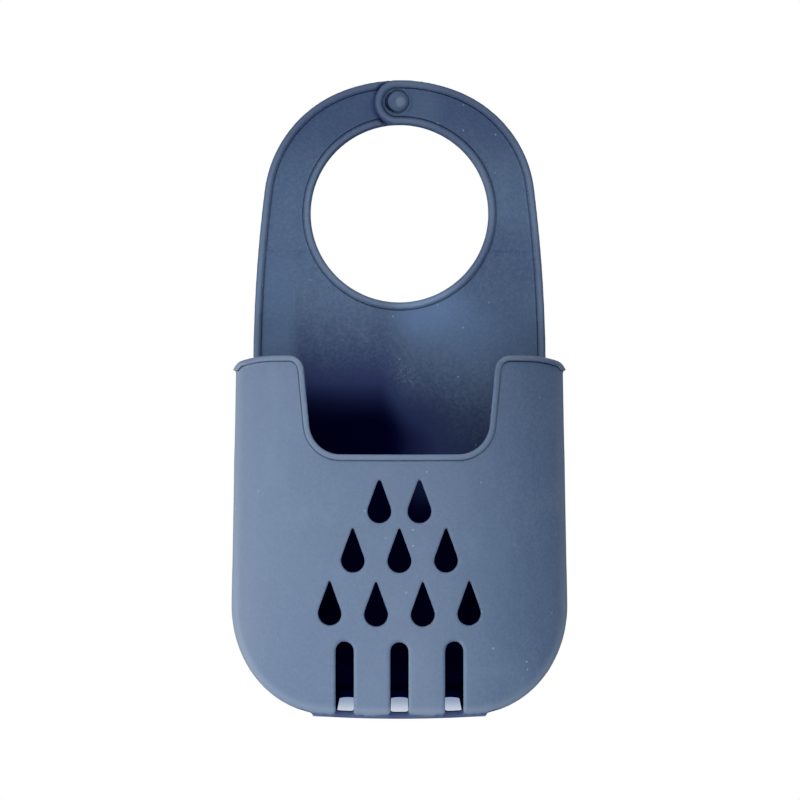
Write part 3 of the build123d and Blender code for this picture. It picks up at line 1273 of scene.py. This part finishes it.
# %% Colour, relief and shader
# Where the painted shade is deepest, a nearly black diffuse shader is mixed in, which takes no
# gloss.
gloss_from = (0, 0.2)
body_fade, gloss_fade = (0.35, 0.65), (0.4, 0.7)
scratch_pale, drawn_pale, stud_highlight_pale, dust_pale = 0.35, 0.4, 0.9, 0.5
grain_relief, wave_relief, scratch_relief = 0.012, 0.09, 0.01
plain_rough, smudge_rough, gloss_gain = 0.56, 0.12, 0.06

plain = f.mixed(f.between(slow, *body_fade), silicone_deep, silicone_base)
with_painted_sheen = f.mixed(painted_sheen, plain, painted_sheen_colour)
# Painted light and shade: above 1 the shade lifts the colour, below 1 it fades it to the painted
# shade colour, and the bloom goes over it.
gain = shade.sum("MAXIMUM", shade, 1)
lifted = f.node("ShaderNodeVectorMath", {"operation": "SCALE"}, {0: with_painted_sheen, "Scale": gain})
shaded_with_bloom = f.mixed(bloom, f.mixed(shade, painted_shade_colour, lifted), bloom_and_highlight_colour)
marks_and_highlight = scratch * scratch_pale + drawn * drawn_pale + stud_highlight * stud_highlight_pale
with_marks_and_highlight = f.mixed(marks_and_highlight, shaded_with_bloom, bloom_and_highlight_colour)
dusty = f.mixed(speck * dust_pale + dots * dust_pale, with_marks_and_highlight, dust_colour)
relief = noise(2600, rough=0.6) * grain_relief + noise(55) * wave_relief
relief = relief + scratch * scratch_relief
bumps = {"Height": relief, "Strength": 0.55, "Distance": mm}
lit_look = {
    "Base Color": dusty,
    "Roughness": plain_rough + smudge * smudge_rough - f.between(slow, *gloss_fade) * gloss_gain,
    "Normal": f.node("ShaderNodeBump", None, bumps),
    "IOR": 1.41,
    "Sheen Weight": 0.12,
    "Sheen Roughness": 0.45,
    "Sheen Tint": (0.75, 0.82, 1.0, 1),
}
lit = f.node("ShaderNodeBsdfPrincipled", None, lit_look)
deep_shade_shader = f.node("ShaderNodeBsdfDiffuse", None, {"Color": deep_shade_colour})
look = {0: f.between(shade, *gloss_from), 1: deep_shade_shader, 2: lit}
surface = f.node("ShaderNodeMixShader", None, look)
f.node("ShaderNodeOutputMaterial", None, {"Surface": surface})
silicone = f.material
print("silicone nodes", len(f.tree.nodes))

# %% [markdown]
# ## Dress the moulding
#
# All pieces wear the same silicone. Smooth shading with a limit by angle keeps the flat cuts
# of the seams from showing. Then the places of the skins are baked into their meshes, and the
# stud is tied to the body of the left arm, where it simply rides along.

# %% Material, shading and motion
sharp_above = math.radians(75)


def dressed(piece):
    """Smooth shading and the silicone finish."""
    only(piece)
    bpy.ops.object.shade_smooth_by_angle(angle=sharp_above)
    piece.data.materials.clear()
    piece.data.materials.append(silicone)


for piece in (shell, right_arm, left_arm, stud):
    dressed(piece)
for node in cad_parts.values():
    for material_slot in node.material_slots:
        material_slot.material = silicone


def bends(piece):
    """Bake the place of a piece into its mesh."""
    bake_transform(piece)


bends(shell)
bends(right_arm)
bends(left_arm)
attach(stud, "left_strap_arm")
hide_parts("front_wall", "left_wall", "right_wall", "drain_floor", "pocket_rim")
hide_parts("back_wall", "ring_base")
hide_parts("right_arm", "eyelet_lip")
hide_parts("left_arm")
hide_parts("snap_stud")

# %% [markdown]
# ## White ground and soft light
#
# The caddy is shown on white, and its front is paler on the left than on the right. Two
# small soft boxes light it from low in front and from the left, and a large strong one, far
# round to the left, draws the pale left edge; the painted sheen of the silicone adds to both.
# The floor and the sky are plain white only to the camera: a floor that shone on the caddy
# would flood the pocket with light, so to all other rays it is a dull dark grey and casts no
# shadow. A painted shadow of blue grey under the caddy is what shows through the slots of
# its floor.

# %% The floor
floor_half = 4.0
floor_drop = 0.5 * mm
shadow_front_colour = (0.61, 0.67, 0.76, 1)
shadow_rear_colour = (0.28, 0.35, 0.50, 1)
under_sides = (31.0 * mm, 29.0 * mm)
under_from = (-18.5 * mm, -17.5 * mm)
under_to = (26.0 * mm, 22.0 * mm)
under_turn = (-12.0 * mm, 20.0 * mm)
dull_grey = (0.08, 0.08, 0.08, 1)

nothing_selected()
bpy.ops.mesh.primitive_plane_add(size=2 * floor_half, location=(0, 0, -floor_drop))
floor = placed("floor")
floor.visible_shadow = False
ground = Finish("ground")
white = (1, 1, 1, 1)
seen = ground.node("ShaderNodeLightPath")
spot = ground.node("ShaderNodeTexCoord", out=3)
side, rear = (ground.node("ShaderNodeSeparateXYZ", None, {0: spot}, out=i) for i in (0, 1))
footprint = ground.between(side.size(), *under_sides) * ground.between(rear, *under_from)
footprint = footprint * ground.between(rear, *under_to)
# Painted shadow under the caddy, seen through the slots of its floor.
under = ground.mixed(ground.between(rear, *under_turn), shadow_front_colour, shadow_rear_colour)
glow_colour = ground.mixed(footprint, white, under)
glow = ground.node("ShaderNodeEmission", None, {0: glow_colour, "Strength": 1.0})
matt = ground.node("ShaderNodeBsdfDiffuse", None, {"Color": dull_grey})
floor_look = {0: seen, 1: matt, 2: glow}
ground.node(
    "ShaderNodeOutputMaterial",
    None,
    {"Surface": ground.node("ShaderNodeMixShader", None, floor_look)},
)
floor.data.materials.append(ground.material)

# %% The white behind
high_light = 1.02
sky_fade = (0, 0.4)

world = bpy.data.worlds.new("studio")
world.use_nodes = True
bpy.context.scene.world = world
sky = Finish("sky", world.node_tree)
ray = sky.node("ShaderNodeLightPath")
direction = sky.node("ShaderNodeTexCoord")
height = sky.node("ShaderNodeSeparateXYZ", None, {0: direction}, out=2)
dim = sky.node("ShaderNodeBackground", None, {1: sky.between(height, *sky_fade) * high_light})
bright = sky.node("ShaderNodeBackground", None, {0: white, 1: 1.0})
sky_look = sky.node("ShaderNodeMixShader", None, {0: ray, 1: dim, 2: bright})
sky.node("ShaderNodeOutputWorld", None, {"Surface": sky_look})

# %% The soft boxes
bpy.context.scene.view_settings.view_transform = "Standard"
middle = Vector((0, 0, 115 * mm))


def soft_box(name, azimuth, elevation, distance, size, power):
    """A square soft box, placed by its angles as seen from the middle of the caddy."""
    level = math.cos(math.radians(elevation))
    toward = Vector(
        (
            math.sin(math.radians(azimuth)) * level,
            -math.cos(math.radians(azimuth)) * level,
            math.sin(math.radians(elevation)),
        )
    )
    data = bpy.data.lights.new(name, "AREA")
    data.shape = "SQUARE"
    data.size = size
    data.energy = power
    lamp = bpy.data.objects.new(name, data)
    lamp.visible_camera = False
    lamp.location = middle + distance * toward
    lamp.rotation_euler = toward.to_track_quat("Z", "Y").to_euler()
    bpy.context.scene.collection.objects.link(lamp)
    print(name, "at", tuple(round(c, 2) for c in lamp.location), "power", power, "W")


soft_box("low_front", 0, -35, 0.34, 0.2, 0.66)
soft_box("left_front", -60, -10, 0.34, 0.2, 0.32)
soft_box("left_edge", -110, -18, 0.85, 0.35, 2.82)
